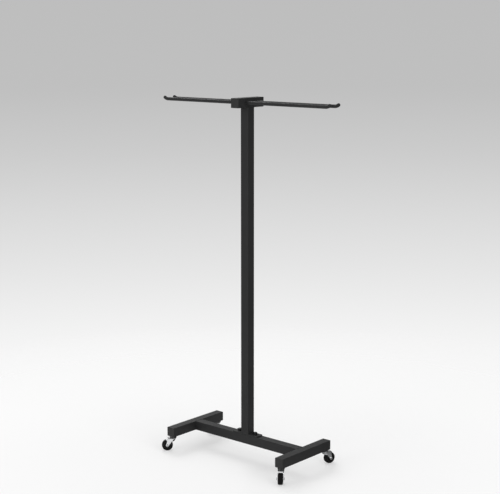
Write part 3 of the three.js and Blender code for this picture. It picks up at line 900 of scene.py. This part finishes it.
def caster_stem():
    """A turned kingpin with a riveted head, a hexagonal collar and a threaded stem overlap in
    one piece."""
    collar_bottom = race_top + seat_gap
    top, pin_top = fork_top - fork_sheet - seat_gap, collar_bottom + overlap
    kingpin = softened([(0, top - kingpin_head_height),
                        (rivet_flat_share * kingpin_head, top - kingpin_head_height),
                        (kingpin_head, top - kingpin_head_rim), (kingpin_head, top),
                        (kingpin_radius, top), (kingpin_radius, pin_top), (0, pin_top)],
                       kingpin_round)
    collar = moved(hexagon(collar_flats, collar_height, both=True), z=collar_bottom)
    stem = thread(2 * stem_radius, stem_pitch, caster_top - overlap, stem_top, 32)
    return joined(lathe(kingpin, 40), collar, stem)


def upper_race():
    """A cup turned round Z, whose track is half an ellipse above its eight balls."""
    under, bore = race_top - race_sheet, kingpin_radius + seat_gap
    rim = (race_high[0] - race_low[0]) / 2
    skirt, bottom = rim - race_sheet, race_top - race_height
    a = np.linspace(0, np.pi, 9)
    track = np.column_stack([ball_circle - track_half * np.cos(a), under + track_depth * np.sin(a)])
    cup = np.concatenate([[(bore, under)], track, [(skirt, under), (skirt, bottom), (rim, bottom),
                                                   (rim, race_top), (bore, race_top)]])
    ball = lathe(ball_radius * np.column_stack([np.sin(a), -np.cos(a)]), 16)
    balls = [moved(ball, ball_circle * math.cos(t), ball_circle * math.sin(t),
                   under + ball_seat - ball_radius) for t in np.arange(8) * np.pi / 4]
    return joined(lathe(softened_ring(cup, race_round), 56), *balls)


print("the upper race has", len(upper_race()[1]), "faces")


# %% [markdown]
# ## The wheel
# The wheel turns on a riveted pin. Its centre is a moulded hub, web and rim, and the tyre has
# soft shoulders and a low tread that wears flat.

# %% Axle, wheel centre and tyre
axle_radius, axle_play, rivet_radius, rivet_height, rivet_rim = 2.5, 0.15, 4.0, 1.4, 0.7
hub_half, hub_radius, web_step, web_half = 6.8, 5.0, 1, 1.8
rim_half, rim_depth, rim_draft, turned_round = 5.25, 2.2, 0.3, 0.5
tyre_half, tyre_depth, tyre_shoulder, tread_bulge = 6.25, 3.5, 2.2, 0.15
tyre_flank = ((0.0, 1.0), (0.6, 0.4), (1.1, 0.0))


def mirrored(half):
    """A profile for one side of the wheel, followed by its mirror image."""
    half = np.asarray(half, float)
    return np.concatenate([half, half[::-1] * np.array([1, -1])])


def axle_pin():
    """A softened profile with a riveted head at both ends, turned round its axis."""
    seat = fork_half + seat_gap
    end = seat + rivet_height
    return lathe(softened(mirrored([
        (0, end), (rivet_flat_share * rivet_radius, end), (rivet_radius, seat + rivet_rim),
        (rivet_radius, seat), (axle_radius, seat)]), turned_round), 40)


def wheel_centre():
    """Half a section through hub, web and rim, mirrored, softened and turned."""
    rim = wheel_radius - tyre_depth - seat_gap
    return lathe(softened_ring(mirrored([
        (axle_radius + axle_play, hub_half), (hub_radius, hub_half),
        (hub_radius + web_step, web_half), (rim - rim_depth, web_half),
        (rim - rim_depth + rim_draft, rim_half), (rim, rim_half)]), turned_round), 64)


def tyre():
    """Shoulders are quarter rounds, and the tread bulges by bulge (1 - (z / flat)^2), where
    flat is half the tread's width."""
    inner, flat = wheel_radius - tyre_depth, tyre_half - tyre_shoulder
    q = np.linspace(0, np.pi / 2, 8)
    shoulder = np.column_stack([
        wheel_radius - tread_bulge - tyre_shoulder * (1 - np.sin(q)),
        flat + tyre_shoulder * np.cos(q)])
    z = np.linspace(flat, 0, 5)[1:-1]
    tread = np.column_stack([wheel_radius - tread_bulge * (z / flat) ** 2, z])
    flank = [(inner + out, tyre_half - back) for out, back in tyre_flank]
    return lathe(mirrored([*flank, *shoulder, *tread]).tolist() + [flank[0]], 96)


print("a tyre has", len(tyre()[1]), "faces")


# %% [markdown]
# ## Putting the casters together
# Each part is made at the swivel axis with the wheel trailing along X, turned to the caster's
# heading and put under its foot. The last number in the table is the part's share of painted
# shade on the zinc, which fades away from the bearing on the hood.

# %% Four casters
sheet_metal = (("SOLIDIFY", {"thickness": fork_sheet * MM, "offset": -1.0}),
               ("BEVEL", {"width": 0.3 * MM, "segments": 2, "limit_method": "ANGLE",
                          "angle_limit": math.radians(40)}))
# Painted shade on the zinc: full on the race, most of it on the stem, a third on the pin, and on the
# hood fading out from the bearing.
shade_reach, shade_fade = 9.4, 2
hood = facing_up(fork_sheet_form())
from_bearing = np.linalg.norm(hood[0] - np.array([0, 0, fork_top]), axis=1)
hood_shade = np.clip((shade_reach - from_bearing) / shade_fade, 0, 1)
pin, centre, tread = (moved(form, trail, 0, axle_z, tip="y")
                      for form in (axle_pin(), wheel_centre(), tyre()))
caster_parts = (("mount", "stem", caster_stem(), zinc, "", (), 0.9),
                ("bearing", "upper_race", upper_race(), zinc, "", (), 1.0),
                ("hood", "fork", hood, zinc, "_swivel", sheet_metal, hood_shade),
                ("pin", "axle", pin, zinc, "_swivel", (), 0.35),
                ("centre", "wheel_core", centre, nylon, "_wheel", (), 0.0),
                ("rubber", "tyre", tread, rubber, "_wheel", (), 0.0))
for corner, place in swivels.items():
    for name, node, form, material, body, modifiers, painted_shade in caster_parts:
        placed = moved(form, place[0], place[1], turn=headings[corner])
        piece(f"{corner}_caster_{name}", placed, material, f"{corner}_caster_{node}",
              body=corner + body if body else "frame", modifiers=modifiers, painted_shade=painted_shade)
print("pieces:", len(made), "with", sum(made.values()), "faces")


# %% [markdown]
# ## Nuts
# The nuts are sealed inside the tubes, so they stay the plain solids that they are in the frame
# and only get their finish.

# %% Nuts inside the tubes
nuts = {f"{corner}_weld_nut": zinc for corner in swivels}
nuts.update({"left_base_nut": oxide, "right_base_nut": oxide})
for node, metal in nuts.items():
    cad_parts[node].data.materials.clear()
    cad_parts[node].data.materials.append(metal)
print("finished", len(nuts), "nuts")


# %% [markdown]
# ## Floor
# The floor is white and matt. It keeps the shadows, and it fades out with distance, so that no
# edge shows between it and the backdrop. Plated metal looks like what it mirrors, so mirrored
# rays, and only they, find painted shade on the floor: dark to the right of the stand, and a
# painted shadow in a small disc beside the front left caster.

# %% Floor
to_the_right = (0.758, 0.652, 0.0)
# The floor's painted shade for mirrored rays: its grey, and the place and reach of a shadow disc and
# of the darkened right side.
plain_share, floor_fade, mirrored_shade = 0.36, (0.45, 1.5), 0.06
shadow_disc_centre, shadow_disc_edge, shade_right_edge = (-0.18, -0.05, 0), (0.05, 0.085), (0.12, 0.32)


def floor_material(name):
    """White that is partly lit and partly plain to the camera, fading to nothing far out.
    Its places and distances are in metres."""
    material = bpy.data.materials.new(name)
    material.use_nodes = True
    f = Finish(material.node_tree)
    shader = f.tree.nodes["Principled BSDF"]
    for socket, value in (("Base Color", grey(0.93)), ("Roughness", 0.9),
                          ("Specular IOR Level", 0.0)):
        shader.inputs[socket].default_value = value
    plain, shade = (f.add("ShaderNodeEmission", {}, {"Color": grey(level), "Strength": 1.0})
                    for level in (1.0, mirrored_shade))
    clear = f.add("ShaderNodeBsdfTransparent", {}, {})
    # Painted shade for mirrored rays only: a painted shadow in a disc beside the front left caster
    # and a dark floor to the right of the stand.
    disc = 1 - f.spread(f.vector("DISTANCE", f.place, shadow_disc_centre), *shadow_disc_edge)
    right = f.spread(f.vector("DOT_PRODUCT", f.place, to_the_right), *shade_right_edge)
    near = f.layered(f.rays("Camera") * plain_share, Value(f, shader.outputs[0]), plain)
    near = f.layered(f.rays("Glossy") * (disc + right), near, shade)
    whole = f.layered(f.spread(f.vector("LENGTH", f.place), *floor_fade), near, clear)
    f.tree.links.new(whole.socket, f.tree.nodes["Material Output"].inputs["Surface"])
    return material


def floor_form(radius=1600.0, sides=96, rings=9):
    """A flat disc: x = r cos a, y = r sin a, z = 0."""
    a, r = full_turn(sides), np.linspace(0, radius, rings)[:, None]
    return grid(surface(r * np.cos(a), r * np.sin(a), 0.0))


mesh_of("floor", floor_form(), floor_material("matt_floor"))
print("a floor of", made["floor"], "faces")


# %% [markdown]
# ## Backdrop and light
# Rays from the camera see a grey backdrop that gets paler towards the floor, so its grey depends
# on how high the ray looks. Everything else is lit evenly by a pale room. Mirrored rays see a
# room with more contrast, which models plated metal: the backdrop in the middle, a dark side on
# the right, and on the left a bright side that ends dark at the far left.

# %% World
room_level, right_shade, left_shade = 0.65, grey(0.13), grey(0.15)
right_side, left_side, far_left = (-0.08, 0.25), (-0.03, -0.25), (-0.75, -0.97)
backdrop_greys = ((-0.30, 1.0), (-0.285, 0.97), (-0.24, 0.9), (-0.19, 0.79), (-0.145, 0.70),
                  (-0.098, 0.60), (-0.05, 0.525), (-0.02, 0.52), (0.1, 0.5), (0.3, 0.42),
                  (0.6, 0.4), (0.8, 0.6))


def studio_world():
    """The backdrop's grey follows z of the ray's direction, and the mirrored room's sides
    follow its share to the right."""
    world = bpy.data.worlds.new("studio")
    bpy.context.scene.world = world
    world.use_nodes = True
    world.node_tree.nodes.clear()
    f = Finish(world.node_tree, "Generated")
    height = f.vector("DOT_PRODUCT", f.place, (0, 0, 1))
    stops = [(0.5 + z / 2, grey(level)) for z, level in backdrop_greys]
    backdrop = f.add("ShaderNodeValToRGB", {"stops": stops}, {"Fac": height * 0.5 + 0.5})
    side = f.vector("DOT_PRODUCT", f.place, to_the_right)
    room = f.mixed(f.spread(side, *right_side), backdrop, right_shade)
    room = f.mixed(f.spread(side, *left_side), room, grey(1.0))
    room = f.mixed(f.spread(side, *far_left), room, left_shade)
    even, seen, reflected = (
        f.add("ShaderNodeBackground", {}, {"Color": colour, "Strength": strength})
        for colour, strength in ((grey(1.0), room_level), (backdrop, 1.0), (room, 1.0)))
    around = f.layered(f.rays("Glossy") + f.rays("Transmission"), even, reflected)
    f.add("ShaderNodeOutputWorld", {}, {"Surface": f.layered(f.rays("Camera"), around, seen)})


def lamp(name, place, size, power, aim=(0, 0, 0.45)):
    """A square lamp of that many metres and watts that faces its aim."""
    light = bpy.data.lights.new(name, "AREA")
    light.shape, light.size, light.energy = "SQUARE", size, power
    obj = bpy.data.objects.new(name, light)
    obj.location = place
    obj.rotation_euler = (Vector(place) - Vector(aim)).to_track_quat("Z", "Y").to_euler()
    bpy.context.scene.collection.objects.link(obj)


studio_world()
lamp("key", (-0.9, -3.8, 1.0), 2.2, 48)
lamp("fill", (3.6, -0.6, 1.4), 2.2, 46)
lamp("top", (-2.6, 1.6, 3.0), 2.0, 48)
print("a world and three lamps")


# %% [markdown]
# ## Camera
# The camera stands where a fit to the photograph put it: 3.2 m away, a little above the rails,
# looking down by ten degrees.

# %% Camera
focal_pixels, image_width = 1259.3, 500
camera = bpy.data.objects.new("camera", bpy.data.cameras.new("camera"))
bpy.context.scene.collection.objects.link(camera)
camera.location = (2.1140, -2.4477, 1.1434)
camera.rotation_euler = (math.radians(90 - 10.02), 0, math.radians(40.70))
camera.data.sensor_width = 36.0
camera.data.lens = camera.data.sensor_width * focal_pixels / image_width
camera.data.clip_end = 50
bpy.context.scene.camera = camera
bpy.context.scene.view_settings.view_transform = "Standard"
print("lens", round(camera.data.lens, 2), "mm")


# %% [markdown]
# ## Bringing the scene up to date
# The view layer is updated, so that every piece stands where it was put. The visual model
# must not outgrow the CAD model that it dresses.

# %% Update the scene
bpy.context.view_layer.update()
